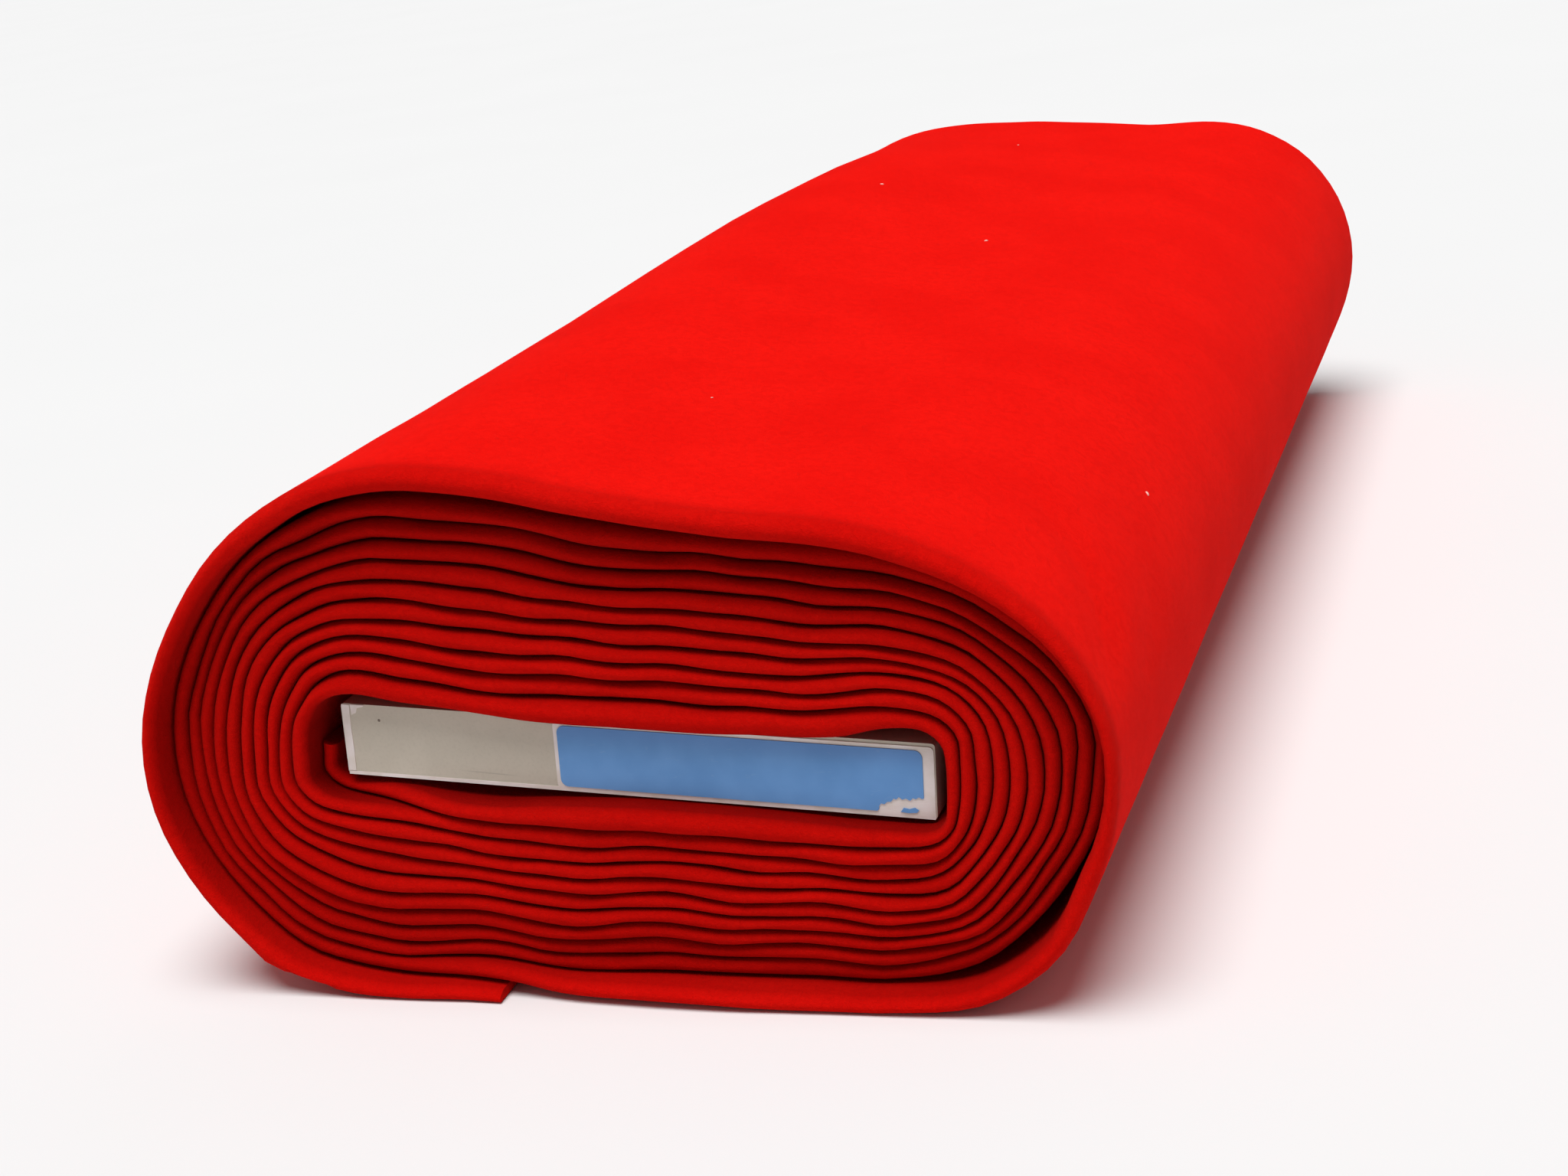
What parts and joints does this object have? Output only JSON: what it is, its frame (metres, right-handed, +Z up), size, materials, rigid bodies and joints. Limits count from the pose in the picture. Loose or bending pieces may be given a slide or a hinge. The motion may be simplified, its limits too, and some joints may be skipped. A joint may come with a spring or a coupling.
{
  "type": "roll of felt",
  "caption": "Flat-wound bolt of red felt, folded in half and wound on a cardboard board, with a plain blue label on the board's end.",
  "frame": {"origin": "centre of the bounding box at the level the roll rests on", "axes": "+Y along the roll, away from the end with the label; +Z up; +X to the right seen from the labelled end"},
  "size_m": [0.3336, 0.7636, 0.1874],
  "materials": {
    "felt": "matte bright red felt with a short nap",
    "board": "matte greyish cream paper over corrugated board",
    "label": "plain blue printed paper, slightly glossy"
  },
  "bodies": {
    "root": {"felt_roll": "felt", "bolt_board": "board", "board_label": "label"}
  },
  "joints": []
}
